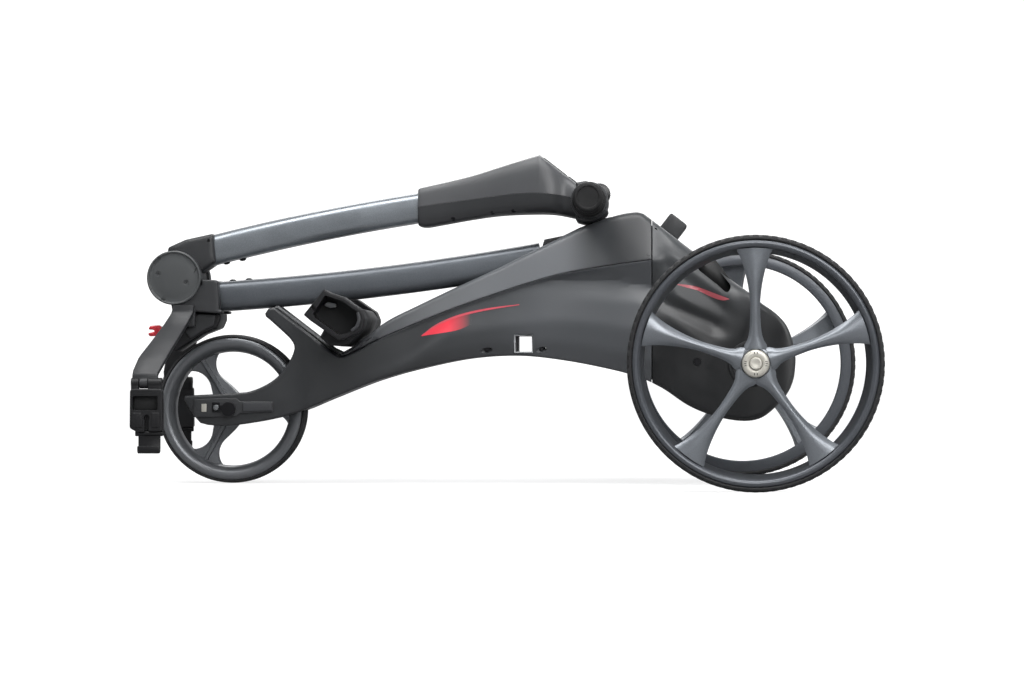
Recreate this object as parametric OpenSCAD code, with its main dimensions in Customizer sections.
// Powered golf trolley, folded flat, in millimetres.
// It stands on Z = 0 with the front at -X, the rear axle at +X and its right side at +Y.
// X = 0 is the centre of the folded footprint, Y = 0 the middle plane.
// Side outlines are lists of [x, z] points; places such as hubs are [x, z] too.

/* [Wheels] */
// Rear tyre radius
rear_radius = 139.4; // [136:0.2:141]
// Rear axle distance behind the centre of the folded footprint
rear_x = 280.6; // [278:0.2:282]
// Front tyre radius
front_radius = 86.5; // [84:0.5:87]
// Front axle position along the trolley
front_x = -320; // [-321:0.5:-319]
// Width of each rear tyre
rear_width = 40; // [34:1:42]
// Width of the front tyre
front_width = 48; // [40:1:50]

/* [Shafts] */
// Height of both shaft tubes
tube_height = 35; // [32:0.5:36]
// Width of both shaft tubes
tube_width = 38; // [34:0.5:40]
// Wall of the shaft tubes
tube_wall = 2; // [1.5:0.1:3]
// Radius of the middle hinge
hinge_radius = 31.4; // [30.5:0.1:32]
// Radius of the grips at their outer ends
grip_radius = 17; // [15:0.5:18]
// Overall width of the handle
handle_width = 262; // [240:2:280]

/* [Chassis] */
// Wall of the plastic mouldings
wall = 3; // [2.5:0.1:3.5]
// Length of the battery pack along the rear slope
battery_length = 118; // [90:1:120]
// Width of the battery pack
battery_width = 120; // [90:1:121]
// Depth of the battery pack
battery_depth = 33; // [25:0.5:34]

/* [Drive] */
// Gear module
gear_module = 1; // [1:1:1]
// Teeth on the motor pinion
pinion_teeth = 12; // [12:1:12]
// Teeth on the large compound gear
compound_big_teeth = 48; // [46:1:48]
// Teeth on the small compound gear
compound_small_teeth = 14; // [14:1:14]
// Teeth on the axle gear
axle_teeth = 56; // [54:1:56]

/* [Hidden] */
$fn = 64;

graphite = [0.22,0.23,0.24];
black = [0.08,0.08,0.085];
tube_grey = [0.3,0.32,0.33];
steel = [0.72,0.72,0.7];
red = [0.85,0.12,0.16];
rubber = [0.05,0.05,0.05];

rear_hub = [rear_x, rear_radius];
front_hub = [front_x, front_radius];
pivot = [145.5, 283];      // pivot of the lower shaft
hinge = [-383.7, 238.3];   // middle hinge
rear_axle_radius = 6;
front_axle_radius = 5;
pivot_pin_radius = 6;
hinge_pin_radius = 5;
half_gap = 0.15;           // from the middle plane to each half moulding

// ---------- helpers ----------
// Side outline extruded from y0 to y1
module plate(y0, y1) translate([0,y1,0]) rotate([90,0,0]) linear_extrude(y1-y0) children();
// Cylinder along Y, centred on an [x, z] place
module rod(place, radius, y0, y1)
  translate([place[0],y1,place[1]]) rotate([90,0,0]) cylinder(r=radius, h=y1-y0);
// Cylinder along X from a start point
module rod_x(start, radius, length) translate(start) rotate([0,90,0]) cylinder(r=radius, h=length);
module box(corner, size) translate(corner) cube(size);
module left() mirror([0,1,0]) children();
module both() {
  children();
  left() children();
}
function reverse(list) = [for (i=[len(list)-1:-1:0]) list[i]];
function tail(list) = [for (i=[1:len(list)-1]) list[i]];
// Change the sign of each point's first coordinate
function flip(points) = [for (p=points) [-p[0],p[1]]];
// Place [y, z] points at x
function station(x, points) = [for (p=points) [x,p[0],p[1]]];
// Closed ring between an outer and an inner line of [y, z] points
function wall_ring(x, outer, inner) = station(x, concat(inner, reverse(outer)));

// Smooth curve through keys of [x, value]
function span_index(x, keys, i=0) =
  (i >= len(keys)-2 || x < keys[i+1][0]) ? i : span_index(x, keys, i+1);
function key_slope(keys, i) =
  let(before=keys[max(0,i-1)], after=keys[min(len(keys)-1,i+1)])
  (after[1]-before[1])/(after[0]-before[0]);
function curve(x, keys) =
  let(i=span_index(x,keys), run=keys[i+1][0]-keys[i][0],
      t=max(0,min(1,(x-keys[i][0])/run)),
      rise0=key_slope(keys,i)*run, rise1=key_slope(keys,i+1)*run)
  (2*t*t*t-3*t*t+1)*keys[i][1] + (t*t*t-2*t*t+t)*rise0
  + (3*t*t-2*t*t*t)*keys[i+1][1] + (t*t*t-t*t)*rise1;

// Solid skinned over a row of closed loops with equal point counts
module skin(loops) {
  count = len(loops[0]);
  rows = len(loops);
  polyhedron(points=[for (ring=loops) for (p=ring) p],
    faces=concat([[for (i=[0:count-1]) i]], [[for (i=[count-1:-1:0]) (rows-1)*count+i]],
      [for (j=[0:rows-2]) for (i=[0:count-1])
        [j*count+i, (j+1)*count+i, (j+1)*count+(i+1)%count, j*count+(i+1)%count]]),
    convexity=8);
}

// ---------- chassis section ----------
// Each line is a list of [x, z], and the last one of [x, half width]
top_line = [[-232,148.6],[-190,149.5],[-176,158],[-157,174],[-134,190],[-101,206.4],[-60,226],
 [-6,250.5],[45,275.5],[85,293.5],[112,302.5],[132,308],[150,310.3],[158,309],[171,302],
 [215,268],[258,235.6],[290,210],[311,193],[324,175],[331,150],[332,139]];
belly_line = [[-232,86],[-202,98.6],[-147,120],[-92,135],[-37,145.5],[18,148],[73,142],[128,131],
 [156,122.5],[184,109],[211,91],[240,79.5],[269,74.3],[290,76.5],[307,86],[320,102],[328,117],
 [332,134]];
seam_line = [[-232,140],[-204,146],[-174,153],[-143,168.5],[-100,186],[-59,202.5],[2,223.5],
 [35,233.7],[94,248.5],[158,259.4]];
groove_line = [[-232,116],[-190,122],[-140,140],[-95,160],[-58,186],[-31,197],[17,205.8],
 [56,211.3],[91,212.7],[126,211],[155,207.5]];
width_line = [[-232,46],[-190,47],[-150,50],[-60,58],[20,66],[90,76],[157,92],[200,103],
 [250,109],[300,108],[332,96]];
function top_z(x) = curve(x, top_line);
function belly_z(x) = curve(x, belly_line);
function half_width(x) = curve(x, width_line);
// Seam between top cover and side shell, and the groove's lower edge below it
function seam_z(x) = min(top_z(x)-6, curve(x, seam_line));
function groove_z(x) = min(seam_z(x)-6, curve(x, groove_line));

// Sections are [y, z] points of the right half
function cover_outer(x) =
  let(top=top_z(x), seam=seam_z(x), wide=half_width(x), shoulder=wide*0.62)
  [[0,top],[shoulder*0.7,top-0.6],[shoulder,top-4],[wide*0.8,top*0.55+seam*0.45],
   [wide*0.88,seam+0.5]];
function cover_inner(x) =
  let(top=top_z(x), seam=seam_z(x), wide=half_width(x), shoulder=wide*0.62)
  [[0,top-wall],[shoulder*0.7-1,top-wall-0.6],[shoulder-wall,top-4-wall*0.6],
   [wide*0.8-wall,top*0.55+seam*0.45-wall*0.5],[wide*0.88-wall,seam+0.5]];
function side_outer(x) =
  let(low=belly_z(x), seam=seam_z(x), groove=groove_z(x), wide=half_width(x))
  [[wide*0.87,seam-0.5],[wide*0.86,(seam+groove)/2],[wide*0.96,groove],
   [wide,groove*0.8+low*0.2],[wide*0.99,(groove+low)/2],[wide*0.93,low+6],
   [wide*0.86,low+1],[half_gap,low]];
function side_inner(x) =
  let(low=belly_z(x), seam=seam_z(x), groove=groove_z(x), wide=half_width(x))
  [[wide*0.87-wall,seam-0.5],[wide*0.86-wall,(seam+groove)/2],[wide*0.96-wall,groove-1],
   [wide-wall,groove*0.8+low*0.2],[wide*0.99-wall,(groove+low)/2],[wide*0.93-wall,low+7],
   [wide*0.86-wall,low+1+wall],[half_gap,low+wall]];
function rear_outer(x) =
  let(top=top_z(x), low=belly_z(x), wide=half_width(x), high=top-low)
  [[half_gap,top],[wide*0.62,top-0.3],[wide*0.74,top-min(6,high*0.08)],
   [wide*0.86,top-high*0.16],[wide*0.89,top-high*0.25],[wide*0.97,top-high*0.34],
   [wide,top-high*0.5],[wide*0.99,low+high*0.3],[wide*0.92,low+high*0.1],
   [wide*0.8,low+high*0.02],[half_gap,low]];
function rear_inner(x) =
  let(top=top_z(x), low=belly_z(x), wide=half_width(x), high=top-low)
  [[half_gap,top-wall],[wide*0.62-1,top-wall-0.3],
   [wide*0.74-wall,top-min(6,high*0.08)-wall*0.6],[wide*0.86-wall,top-high*0.16-1],
   [wide*0.89-wall,top-high*0.25],[wide*0.97-wall,top-high*0.34],[wide-wall,top-high*0.5],
   [wide*0.99-wall,low+high*0.3],[wide*0.92-wall,low+high*0.1+1],
   [wide*0.8-wall,low+high*0.02+wall*0.8],[half_gap,low+wall]];

body_split = 156.6;        // X where the front mouldings end
function spread(first, steps) = [for (k=[0:steps]) first+(body_split-first)*k/steps];
module cover_loft() skin([for (x=spread(-184,26)) let(outer=cover_outer(x), inner=cover_inner(x))
  station(x, concat(reverse(outer), flip(tail(outer)), flip(reverse(tail(inner))), inner))]);
module side_loft() skin([for (x=spread(-228,28)) wall_ring(x, side_outer(x), side_inner(x))]);
module rear_loft() skin([for (x=[157.4,170,183,197,211,226,241,256,271,286,299,310,319,325])
  wall_ring(x, rear_outer(x), rear_inner(x))]);

// Frame on the rear slope: local X runs down it, local Z stands off it
module slope_frame() translate([214.6,0,268.4]) rotate([0,37.6,0]) children();
module slope_box(low, high) slope_frame() box(low, high-low);

// Room the lower shaft needs when it swings from folded to open
module shaft_room() {
  plate(-24,24) polygon([[-76,214],[-60,226],[-53,226.5],[-11,233.4],[17,238],[35,241.5],
    [100,256.5],[133,263],[145,266],[158,270],[190,306],[196,330],[60,345],[-90,300]]);
}

// ---------- chassis mouldings ----------
// Side shell screws: place, post start y, post end y, recess floor y, head top y, length
side_screws = [[[-21.3,158],34,57.4,54.3,57.5,22], [[-124.3,139],26,48.6,46.3,49.5,20]];
rear_screw = [220.2,141];
screw_hole_radius = 2.05;
head_hole_radius = 4.2;

module top_cover() color(graphite) difference() {
  union() {
    cover_loft();
    // sides and floor of the shaft channel
    both() plate(24.2,27.2) polygon(concat([for (x=[-66:12:150]) [x,top_z(x)-1.2]],
      [[155,262],[140,259],[100,250.5],[35,238],[-11,229],[-58,221]]));
    plate(-24.4,24.4) polygon([[-62,222],[-53,224],[-11,231.2],[35,239.3],[100,254],
      [133,260.5],[133,257.5],[100,251],[35,236.3],[-11,228.2],[-62,219]]);
  }
  shaft_room();
  rod(pivot, pivot_pin_radius+0.1, -70, 70);
}

fork_leg = [[-226,88],[-233.2,85.9],[-256.6,78.3],[-292,70.7],[-321.3,67.3],[-345,68.4],
 [-354,71],[-359,76.5],[-365,85],[-372.6,98],[-371.8,101.8],[-309.6,105.3],[-296.6,106.4],
 [-280.2,113],[-264.9,122.3],[-252,138.8],[-246,148.6],[-226,148.6]];
module side_shell() difference() {
  union() {
    side_loft();
    plate(30,45.4) polygon(fork_leg);
    // front end wall
    box([-228,half_gap,89], [wall,43,50]);
    // gusset ribs along the belly
    for (x=[-165,-146,-106,-88,-70,-52,50,66,82,98,114,130]) hull() {
      box([x,9,belly_z(x)+1.4], [2,2,2]);
      box([x,half_width(x)*0.88-3,belly_z(x)+2], [2,2,2]);
      box([x,half_width(x)*0.95-3.6,belly_z(x)*0.6+groove_z(x)*0.4], [2,2,2]);
    }
    // window tube and screw posts
    box([7.5,half_gap,150], [27.8,64,25.6]);
    for (post=side_screws) rod(post[0], 6.2, post[1], post[2]);
  }
  box([10.5,-10,151.3], [21.8,150,21.3]);
  rod(front_hub, front_axle_radius+0.05, 20, 60);
  for (post=side_screws) {
    rod(post[0], screw_hole_radius, 20, 100);
    rod(post[0], head_hole_radius, post[3], 100);
  }
}
module side_shell_left() color(graphite) left() side_shell();
module side_shell_right() color(graphite) side_shell();

module rear_housing(with_post) difference() {
  union() {
    rear_loft();
    // tail wall
    plate(half_gap,92) polygon([[321,118],[321,170],[325,166],[330.5,152],[331.5,140],
      [329.5,128],[325,118]]);
    rod(rear_hub, 21, 94, 106.3);
    rod(rear_hub, 26, 106, 110.5);
    if (with_post) rod(rear_screw, 6, 72, 102.4);
  }
  // openings for the battery tray and shaft dock
  slope_box([-19.6,-2,-42], [114,65,60]);
  slope_box([-80,-2,-33], [-21.3,24.3,60]);
  rod(rear_hub, 14.03, 90, 104.2);
  rod(rear_hub, 7, 90, 120);
  if (with_post) rod(rear_screw, screw_hole_radius, 60, 120);
  if (with_post) rod(rear_screw, head_hole_radius, 98.4, 120);
}
module rear_housing_left() color(graphite) left() rear_housing(with_post=true);
module rear_housing_right() color(graphite) rear_housing(with_post=false);

module lower_bag_base() color(graphite) difference() {
  plate(-37,37) polygon([[-278.3,194],[-277,200],[-272.7,203],[-265,204],[-258.5,202],
    [-200,157],[-188,153.2],[-185.5,149.4],[-243,149.4],[-245,156],[-250,167]]);
  // two sockets for a bag's base lock
  for (y=[-28,28]) translate([-229,y,179.3]) rotate([0,37.57,0]) translate([0,0,-12])
    cylinder(r=4, h=40);
  plate(-20,20) polygon([[-228,163],[-216,158],[-205,153],[-205,140],[-228,140]]);
}

// Cross bar of the lower strap with a hollow box at each end
cross_bar = [[-211.5,169.2],[-199.5,160],[-184,158.5],[-176,163.5],[-161,176.5],[-155,190],
 [-163,201],[-176,204],[-194,200]];
end_box = [[-202.8,223.4],[-196,219.6],[-181,214.9],[-160.2,200.5],[-156,190],[-159.6,176.5],
 [-176.7,168.6],[-186,165.2],[-218.7,188.2],[-226.1,194.6]];
end_box_hollow = [[-203,216.5],[-182,210],[-164,197.5],[-162,189],[-165,180],[-177,173.5],
 [-186,171.5],[-213,191],[-219,196]];
module lower_cradle() color(black) difference() {
  union() {
    plate(-84,84) polygon(cross_bar);
    both() plate(82,122) polygon(end_box);
  }
  both() plate(86,123) polygon(end_box_hollow);
  // slot through the box's front wall
  both() plate(95,110) polygon([[-224,205],[-213,211],[-217,196],[-222,192],[-228,195]]);
}

module battery_tray() color(black) difference() {
  slope_box([-18.9,-64.3,-39.5], [112.9,64.3,-2]);
  slope_box([-15.9,-61.3,-36.6], [110,61.3,10]);
}
battery_corner = [-12,-battery_width/2,-36.3];
module battery_pack() color(black) {
  difference() {
    slope_frame() box(battery_corner, [battery_length,battery_width,battery_depth]);
    slope_box([70,-38,-18], [96,38,20]);
  }
  // bar across the recess
  slope_box([80,-38.5,-10.5], [87,38.5,-4.4]);
}
module shaft_dock() color(black) difference() {
  slope_box([-46.6,-23.8,-22], [-22,23.8,17]);
  slope_box([-42.3,-10.3,6], [-26.7,10.3,30]);
  rod(pivot, 30, -40, 40);
}
module dock_button() color(graphite) slope_box([-42,-10,12], [-27,10,21]);

// ---------- drive ----------
motor = [222,141];
motor_shaft_radius = 3;
idler_pin_radius = 3;
mesh_gap = 0.25;           // added to each gear centre distance
centres_1 = gear_module*(pinion_teeth+compound_big_teeth)/2 + mesh_gap;
centres_2 = gear_module*(compound_small_teeth+axle_teeth)/2 + mesh_gap;
// The idler lies where circles of those radii about motor and axle cross
motor_to_axle = norm(rear_hub-motor);
axle_direction = (rear_hub-motor)/motor_to_axle;
idler_along = (pow(centres_1,2)-pow(centres_2,2)+pow(motor_to_axle,2))/(2*motor_to_axle);
idler_aside = sqrt(pow(centres_1,2)-pow(idler_along,2));
idler = motor + idler_along*axle_direction
  + idler_aside*[-axle_direction[1],axle_direction[0]];
function heading(from, to) = atan2(to[1]-from[1], to[0]-from[0]);
motor_heading = heading(motor, idler);
axle_heading = heading(idler, rear_hub);

// Spur gear with straight flanks, its first tooth centred on angle first
module gear(centre, teeth, first, y0, y1) {
  pitch = 360/teeth;
  root = teeth*gear_module/2 - 1.15*gear_module;
  tip = teeth*gear_module/2 + 0.92*gear_module;
  // tooth corners: radius, angle from the tooth's middle
  corners = [[root,-pitch*0.29],[tip,-pitch*0.1],[tip,pitch*0.1],[root,pitch*0.29]];
  translate([centre[0],0,centre[1]]) plate(y0,y1)
    polygon([for (i=[0:teeth-1]) for (c=corners) let(angle=first+i*pitch+c[1])
      [c[0]*cos(angle),c[0]*sin(angle)]]);
}
module motor_can() color(steel) difference() {
  rod(motor, 30, -44, 65.6);
  rod(motor, 27, -41, 62);
  rod(motor, motor_shaft_radius+0.05, -50, 70);
}
module motor_rotor() color([0.7,0.45,0.25]) {
  rod(motor, 24, -34, 54);
  rod(motor, motor_shaft_radius, -43, 80.5);
  gear(motor, pinion_teeth, motor_heading, 80, 87);
}
module compound_gear() color([0.9,0.88,0.8]) difference() {
  union() {
    gear(idler, compound_big_teeth, motor_heading+180+180/compound_big_teeth, 80, 87);
    gear(idler, compound_small_teeth, axle_heading, 71.5, 80);
    rod(idler, 5, 70.6, 88.6);
  }
  rod(idler, idler_pin_radius+0.05, 60, 100);
}
module axle_gear() color(steel) difference() {
  union() {
    gear(rear_hub, axle_teeth, axle_heading+180+180/axle_teeth, 72, 79);
    rod(rear_hub, 11, 71, 79.3);
    rod(rear_hub, 9.6, 79, 88);
  }
  rod(rear_hub, rear_axle_radius, 60, 100);
}
// Three merged discs with radii at the axle, idler and motor
gearbox_outer = [32.5,29,14];
gearbox_inner = [30,26.5,10];
module lobes(radii, y0, y1) {
  places = [rear_hub,idler,motor];
  for (i=[0:2]) rod(places[i], radii[i], y0, y1);
}
module gearbox_case() color([0.15,0.15,0.15]) {
  difference() {
    lobes(gearbox_outer, 66, 78.9);
    lobes(gearbox_inner, 69, 90);
    rod(rear_hub, rear_axle_radius+0.6, 60, 100);
    rod(motor, motor_shaft_radius+1, 60, 100);
  }
  rod(idler, idler_pin_radius, 67, 92.5);
}
module gearbox_cover() color([0.2,0.2,0.2]) difference() {
  lobes(gearbox_outer, 79.1, 93);
  lobes(gearbox_inner, 70, 90.2);
  rod(rear_hub, rear_axle_radius+0.6, 60, 100);
  rod(idler, idler_pin_radius+0.1, 60, 100);
}
module rear_axle() color(steel) rod(rear_hub, rear_axle_radius, -289, 289);
module axle_bearings() color(steel) both() difference() {
  rod(rear_hub, 14, 96, 104);
  rod(rear_hub, rear_axle_radius+0.05, 90, 110);
}
module controller_board() color([0.1,0.35,0.18]) {
  box([60,-30,170], [80,60,1.6]);
  for (i=[0:3]) box([68+i*17,-12,171.5], [11,22,9]);
}
module wiring_harness() color(red) for (y=[-8,8])
  translate([143,y,172]) rotate([0,110,0]) cylinder(r=2.5, h=49);

// ---------- chassis metalwork ----------
module spine_beam() color(steel) translate([-158,0,151]) rotate([0,-15.4,0]) difference() {
  box([0,-13,-9], [286,26,18]);
  box([-1,-11,-7], [288,22,14]);
}
module pivot_bracket() color(steel) difference() {
  union() {
    both() plate(27.4,31.4)
      polygon([[112,248],[172,248],[166,288],[156,299],[135,299],[126,288]]);
    plate(-31.4,31.4) polygon([[112,248],[172,248],[172,252],[112,252]]);
  }
  rod(pivot, pivot_pin_radius+0.02, -60, 60);
}
module pivot_pin() color(steel) rod(pivot, pivot_pin_radius, -36, 36);
module screw(place, head_y, length) {
  rod(place, 4, head_y-3, head_y);
  rod(place, 2, head_y-length, head_y-2.9);
}
module chassis_screws() color(steel) {
  both() for (post=side_screws) screw(post[0], post[4], post[5]);
  left() screw(rear_screw, 101.6, 24);
}

// ---------- wheels ----------
rear_outside = 295;        // Y of the rear wheel's outer and inner faces
rear_inside = rear_outside-rear_width;
front_half = front_width/2;
rear_facets = 128;
front_facets = 96;
// Half spoke outlines: distance from the hub centre, half width
rear_spoke = [[12,8.5],[27,8.5],[43,6],[63,5.2],[83,7.7],[108,13],[122.5,18.5]];
front_spoke = [[9,12],[22,10],[38,8],[52,10],[62,17],[66,20]];
module spokes(hub, outer_y, depth, count, first, half)
  for (k=[0:count-1])
    translate([hub[0],outer_y,hub[1]]) rotate([90,-(first+360/count*k),0]) linear_extrude(depth)
      polygon(concat(half, [for (p=reverse(half)) [p[0],-p[1]]]));

// Wheel profiles are [radius, y] points
module rear_turned(profile) translate([rear_x,0,rear_radius]) rotate([-90,0,0])
  rotate_extrude($fn=rear_facets) polygon(profile);
module front_turned(profile) translate([front_x,0,front_radius]) rotate([90,0,0])
  rotate_extrude($fn=front_facets) polygon(profile);

// Right rear rim, its first spoke at angle first
module rear_rim(first) {
  outer = rear_outside;
  inner = rear_inside;
  difference() {
    union() {
      rear_turned([[133.9,inner+2],[133.9,outer-3],[131.5,outer-0.6],[127.5,outer-0.6],
        [125.5,outer-3],[123.4,outer-10],[120,inner+3],[121.5,inner+2]]);
      rod(rear_hub, 20, inner-2, outer-6);
      spokes(rear_hub, outer-7, 13, 5, first, rear_spoke);
    }
    rod(rear_hub, rear_axle_radius+0.04, inner-10, outer+1);
    rod(rear_hub, 15.2, outer-8.2, outer+1);
  }
}
module rear_rim_right() color(graphite) rear_rim(23);
module rear_rim_left() color(graphite) left() rear_rim(18.5);

module rear_tyre() {
  outer = rear_outside;
  inner = rear_inside;
  groove = 138;
  rear_turned([[134,inner+1],[136,inner],[138,inner+0.8],[rear_radius,inner+4],
    [rear_radius,inner+12],[groove,inner+13],[groove,inner+14.5],[rear_radius,inner+15.5],
    [rear_radius,outer-15.5],[groove,outer-14.5],[groove,outer-13],[rear_radius,outer-12],
    [rear_radius,outer-4],[138,outer-0.8],[136,outer],[134,outer-1]]);
}
module rear_tyre_right() color(rubber) rear_tyre();
module rear_tyre_left() color(rubber) left() rear_tyre();

button_radius = 7.05;
module hub_cap() difference() {
  union() {
    rod(rear_hub, 15, 286.9, 294.5);
    rod(rear_hub, 12, 294, 297);
  }
  rod(rear_hub, button_radius+0.05, 280, 300);
}
module hub_cap_right() color(steel) hub_cap();
module hub_cap_left() color(steel) left() hub_cap();
module release_button() rod(rear_hub, button_radius, 292.6, 300);
module release_button_right() color(steel) release_button();
module release_button_left() color(steel) left() release_button();

module front_rim() color(graphite) difference() {
  side = front_half;
  union() {
    front_turned([[74.9,-side+3],[74.9,side-3],[73,side-2],[71,side-3],[64,4],[64,-4],
      [71,-side+3],[73,-side+2]]);
    rod(front_hub, 13, -19, 19);
    spokes(front_hub, 7, 14, 3, 2, front_spoke);
  }
  rod(front_hub, 9.5, -30, -11);
  rod(front_hub, 9.5, 11, 30);
  rod(front_hub, 6.5, -30, 30);
}
module front_tyre() color(rubber) {
  side = front_half;
  tread = front_radius;
  front_turned([[75,-side+2],[79,-side],[83,-side+2],[tread-0.9,-side+8],[tread-0.3,-9],
    [84.6,-8.4],[84.6,-7],[tread,-6.4],[tread,6.4],[84.6,7],[84.6,8.4],[tread-0.3,9],
    [tread-0.9,side-8],[83,side-2],[79,side],[75,side-2]]);
}
module front_bearings() color(steel) both() difference() {
  rod(front_hub, 9.5, 11.1, 18.6);
  rod(front_hub, front_axle_radius+0.04, 5, 30);
}
module front_axle() color(steel) {
  rod(front_hub, front_axle_radius, -51, 51);
  both() rod(front_hub, 8, 48.9, 53);
  // spacers
  both() difference() {
    rod(front_hub, 7.5, 19.2, 29.8);
    rod(front_hub, front_axle_radius-0.1, 10, 40);
  }
}
module axle_plates() color(black) both() difference() {
  plate(45.6,48.6) polygon([[-357,76],[-357,98],[-309,98],[-262,96],[-262,82],[-309,80],
    [-312,76]]);
  rod(front_hub, front_axle_radius+0.2, 40, 60);
}

// ---------- lower shaft ----------
lower_front = [-352,216.2];
lower_rear = [40,262.4];
lower_sag = 5.7;
upper_front = [-350,269.6];
upper_rear = [-62,326.2];
upper_sag = -4.2;

function signed_pow(value, power) = sign(value)*pow(abs(value),power);
// Rounded tube section, grown outwards by grow
function tube_section(grow) = [for (a=[7.5:15:359])
  [(tube_height/2+grow)*signed_pow(cos(a),0.62), (tube_width/2+grow)*signed_pow(sin(a),0.62)]];
// Curved tube between two places; a positive sag bows it downwards
module tube_arc(from, to, sag, hollow=true, grow=0) {
  chord = to-from;
  length = norm(chord);
  radius = length*length/(8*abs(sag)) + abs(sag)/2;
  centre = (from+to)/2 + [-chord[1],chord[0]]/length*(radius-abs(sag))*sign(sag);
  angle0 = heading(centre, from);
  angle1 = heading(centre, to);
  translate([centre[0],0,centre[1]]) rotate([90,0,0]) rotate([0,0,min(angle0,angle1)])
    rotate_extrude(angle=abs(angle1-angle0), $fn=512) translate([radius,0]) difference() {
      polygon(tube_section(grow));
      if (hollow) polygon(tube_section(-tube_wall));
    }
}
module lower_tube() color(tube_grey) tube_arc(lower_front, lower_rear, lower_sag);
module shaft_foot() color(black) difference() {
  union() {
    rod(pivot, 14, -20, 20);
    plate(-20,20) polygon([[145,297],[145.5,269],[112,264],[86,256],[46,248.4],[42,276.6],
      [44,283],[86,291.5],[120,296.5]]);
    // plug inside the tube
    plate(-13.5,13.5) polygon([[46,252],[12,247],[8,265],[44,272]]);
  }
  rod(pivot, pivot_pin_radius+0.06, -30, 30);
}
module lower_yoke() color(black) difference() {
  union() {
    both() {
      rod(hinge, hinge_radius, 34, 45.8);
      plate(34,45.8) polygon([[-386,214],[-345,240],[-333,235.4],[-330.7,207],[-331,199],
        [-359,199],[-359.8,181],[-383,181]]);
    }
    plate(-34.2,34.2) polygon([[-353,237.2],[-333,235.4],[-330.7,207],[-330.7,198.9],
      [-363.8,201.6],[-363.8,203.5],[-356,208]]);
  }
  rod(hinge, 29.5, -34, 34);
  rod(hinge, hinge_pin_radius+0.02, -60, 60);
  tube_arc([-352.5,216.15], lower_rear, lower_sag, hollow=false);
}
module hinge_pin() color(steel) rod(hinge, hinge_pin_radius, -45, 45);
module hinge_covers() color(black) both() difference() {
  rod(hinge, hinge_radius-0.2, 46, 49.6);
  rod(hinge, 27, 48.6, 50);
  plate(45,50) polygon([[-403,252],[-398,258],[-395,255],[-400,249]]);
}

// ---------- upper cradle and straps ----------
lever_pin = [-392,172];
strap_pin_radius = 2;
module cradle_base() color(black) difference() {
  plate(-33.6,33.6) polygon([[-362,199],[-331,197],[-331.5,190],[-335.5,180],[-353.7,173.5],
    [-374.5,160],[-384,153],[-393,155],[-398,162],[-404,170],[-401,177],[-390,187],[-378,195]]);
  plate(-6.3,6.3) polygon([[-384,160],[-384,192],[-410,192],[-410,140]]);
  rod(lever_pin, 2.05, -25, 25);
}
arm_side = [[-359.6,205.8],[-384,205.8],[-386.5,196],[-394,181],[-404,163],[-415,145],
 [-419.6,130],[-419.6,123.8],[-391,123.8],[-391,127],[-384,142],[-376,160.5],[-367.5,181],
 [-361,196]];
// Seen along X: [y, z] points
arm_front = [[46,206],[46,194],[57,180],[85,160.5],[109,141],[122,127.5],[125.5,124],
 [125.5,120],[133,120],[132.5,127],[117,145.5],[93,165],[64,185],[53,198],[52.5,206]];
module cradle_arm() union() {
  intersection() {
    plate(40,140) polygon(arm_side);
    translate([-430,0,0]) rotate([90,0,90]) linear_extrude(90) polygon(arm_front);
  }
  // knuckle and strap pin
  rod_x([-411.2,131,117], 6, 9.4);
  box([-411.2,127.5,117], [9.4,5.2,8]);
  rod_x([-418.6,131,117], strap_pin_radius, 24.6);
}
module cradle_arm_left() color(black) left() cradle_arm();
module cradle_arm_right() color(black) cradle_arm();
module release_lever() color(red) {
  plate(-6,6) polygon([[-390,168],[-394,167],[-405,169.5],[-408,173.6],[-418.5,172],
    [-419.4,175],[-418.9,180.2],[-407,183.6],[-404,180.6],[-402,175.5],[-394,177],[-390,176]]);
  rod(lever_pin, 2, -24, 24);
}
module strap_bracket() difference() {
  union() {
    // knuckles: start x, length
    for (knuckle=[[-419.4,7.9],[-401.4,9.4]]) {
      rod_x([knuckle[0],131,117], 6, knuckle[1]);
      box([knuckle[0],128,108], [knuckle[1],9,9]);
    }
    plate(128,140) polygon([[-420,62],[-420,112],[-385,112],[-385,60],[-412,61]]);
  }
  rod_x([-430,131,117], strap_pin_radius+0.05, 60);
  box([-411.9,120,108], [10.9,17,20]);
  box([-415,120,86], [25,30,17]);
  // keyhole
  rod([-402,78], 3.2, 120, 150);
  box([-403.6,120,66], [3.2,30,12]);
  // room for the hook
  box([-413,131,50], [26.5,6,13.5]);
  rod_x([-418,134,60.2], 3.6, 31.8);
}
module strap_bracket_left() color(black) left() strap_bracket();
module strap_bracket_right() color(black) strap_bracket();
module strap_hook() {
  rod_x([-412.4,134,60.2], 3.2, 25.6);
  box([-412,132.5,41], [25,3,19]);
  box([-412,132.5,38], [25,11,3.2]);
  box([-412,141,38], [25,2.6,7]);
}
module strap_hook_left() color(black) left() strap_hook();
module strap_hook_right() color(black) strap_hook();

// ---------- upper shaft ----------
module upper_tube() color(tube_grey) tube_arc(upper_front, upper_rear, upper_sag);
module upper_yoke() color(black) difference() {
  union() {
    rod(hinge, 28.5, -33.7, 33.7);
    plate(-24,24) polygon([[-394.6,262],[-394.6,272],[-393.9,274.8],[-373.6,283.5],[-342,290],
      [-338.8,256.9],[-332,255.3],[-351.6,246.4],[-362,240]]);
  }
  rod(hinge, hinge_pin_radius+0.06, -60, 60);
  tube_arc([-350.5,269.5], upper_rear, upper_sag, hollow=false);
  tube_arc(upper_front, upper_rear, upper_sag, hollow=false, grow=0.06);
}

// ---------- handle head ----------
handle_bar = [96.5,327.1];
dial = [107.5,336];
handle_end = handle_width/2;
face_start = [38.6,381.2]; // top edge of the sloping display face
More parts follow.
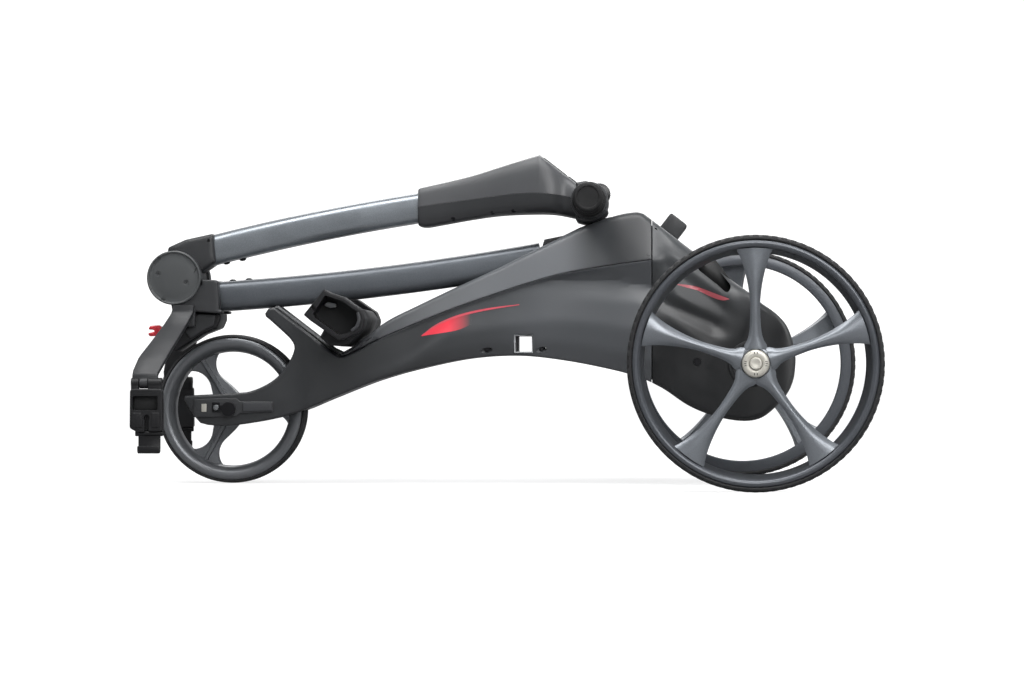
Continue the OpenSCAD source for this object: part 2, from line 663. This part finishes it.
// Lines of [x, z], and the last one of [x, half width]
head_top = [[-102.7,342.9],[-43,356.7],[-2,369.2],[22,376.4],face_start];
head_bottom = [[-102.7,299],[-94,297.5],[-78,300],[-43,306.3],[-10,311],[22,312.9],[55,312.6],
 [82,307.7]];
head_seam = [[-102.7,321],[-41,329],[24,336],[58,334],[82,330]];
head_width = [[-102.7,24],[-60,26],[-20,32],[20,41],[50,45.8],[82,45.8]];
head_stations = [-102,-90,-75,-55,-35,-15,5,25,38.6,55,68,81];
hollow_stations = [-103,-90,-75,-55,-35,-15,5,25,38.6,55,66];
function head_top_z(x) =
  x<=face_start[0] ? curve(x,head_top) : face_start[1]-(x-face_start[0])*0.777;
// Frame on the display face: local X down the face, Z out of it
module face_frame() translate([59.8,0,364.73]) rotate([0,37.85,0]) children();

module head_upper_shell() color(graphite) difference() {
  skin([for (x=head_stations)
    let(top=head_top_z(x), seam=curve(x,head_seam)+0.15, wide=curve(x,head_width),
      outer=[[wide,seam],[wide*0.98,seam+(top-seam)*0.55],[wide*0.8,top-2],[wide*0.66,top]],
      inner=[[wide-2.5,seam],[wide*0.98-2.5,seam+(top-seam)*0.5],[wide*0.8-2.5,top-4],
        [wide*0.66-1,top-3]])
    station(x, concat(outer, flip(reverse(outer)), flip(inner), reverse(inner)))]);
  face_frame() box([-19.2,-22.2,-1.4], [30.4,44.4,10]);
  face_frame() translate([20,0,-10]) cylinder(r=6.05, h=30);
  rod(handle_bar, 21.75, -50, 50);
}
module display_window() color([0.05,0.06,0.08]) face_frame() box([-19,-22,-1.3], [30,44,1.6]);
module power_button() color(black) face_frame() translate([20,0,-3.6]) cylinder(r=6, h=5.4);

// Closed section from its flat top and the right half below it
function trough(x, wide, top, half) =
  station(x, concat([[wide,top],[-wide,top]], flip(half), reverse(half)));
module head_lower_shell() color(graphite) difference() {
  union() {
    skin([for (x=head_stations)
      let(low=curve(x,head_bottom), seam=curve(x,head_seam)-0.15, wide=curve(x,head_width))
      trough(x, wide, seam, [[wide,seam-2],[wide*0.97,low+(seam-low)*0.4],[wide*0.8,low+2],
        [wide*0.6,low]])]);
    rod(handle_bar, 21.6, -46, 46);
    rod(handle_bar, 11, -handle_end+7, handle_end-7);
    plate(-30,30) polygon([[81,348],[96,350.2],[112,343],[112,330],[81,330]]);
    plate(-44,44) polygon([[80,309],[92,304.5],[100,306],[100,330],[80,333]]);
  }
  // hollow for the tube and the electronics
  skin([for (x=hollow_stations)
    let(low=curve(x,head_bottom)+3, seam=curve(x,head_seam)+1, wide=curve(x,head_width)-3)
    trough(x, wide, seam, [[wide*0.95,low+(seam-low)*0.4],[wide*0.78,low+2],[wide*0.6,low]])]);
  rod(dial, 13.8, -7.6, 7.6);
  rod(dial, 2.55, -13, 13);
}
module speed_dial() color(black) {
  rod(dial, 13.2, -7.3, 7.3);
  rod(dial, 2.5, -12.6, 12.6);
}
// Turned about the handle bar from [radius, y] points, with a bore for the bar
module grip() translate([handle_bar[0],0,handle_bar[1]]) rotate([-90,0,0])
  rotate_extrude() difference() {
    polygon([[0,50],[0,handle_end],[grip_radius-4,handle_end],[grip_radius-1,handle_end-1.4],
      [grip_radius,handle_end-4],[grip_radius,105],[grip_radius+1.2,88],[grip_radius+0.4,70],
      [grip_radius+1.6,56],[grip_radius+2.6,48],[grip_radius+2.6,46.3],[11,46.3],[0,46.3]]);
    translate([-1,40]) square([12.03,handle_end-46.8]);
  }
module grip_right() color(rubber) grip();
module grip_left() color(rubber) left() grip();

top_cover();
side_shell_left();
side_shell_right();
rear_housing_left();
rear_housing_right();
lower_bag_base();
lower_cradle();
battery_tray();
battery_pack();
shaft_dock();
dock_button();
motor_can();
motor_rotor();
compound_gear();
axle_gear();
gearbox_case();
gearbox_cover();
rear_axle();
axle_bearings();
controller_board();
wiring_harness();
spine_beam();
pivot_bracket();
pivot_pin();
chassis_screws();
rear_rim_left();
rear_rim_right();
rear_tyre_left();
rear_tyre_right();
hub_cap_left();
hub_cap_right();
release_button_left();
release_button_right();
front_rim();
front_tyre();
front_bearings();
front_axle();
axle_plates();
shaft_foot();
lower_tube();
lower_yoke();
hinge_covers();
hinge_pin();
cradle_base();
cradle_arm_left();
cradle_arm_right();
release_lever();
strap_bracket_left();
strap_bracket_right();
strap_hook_left();
strap_hook_right();
upper_tube();
upper_yoke();
head_lower_shell();
head_upper_shell();
display_window();
power_button();
speed_dial();
grip_left();
grip_right();
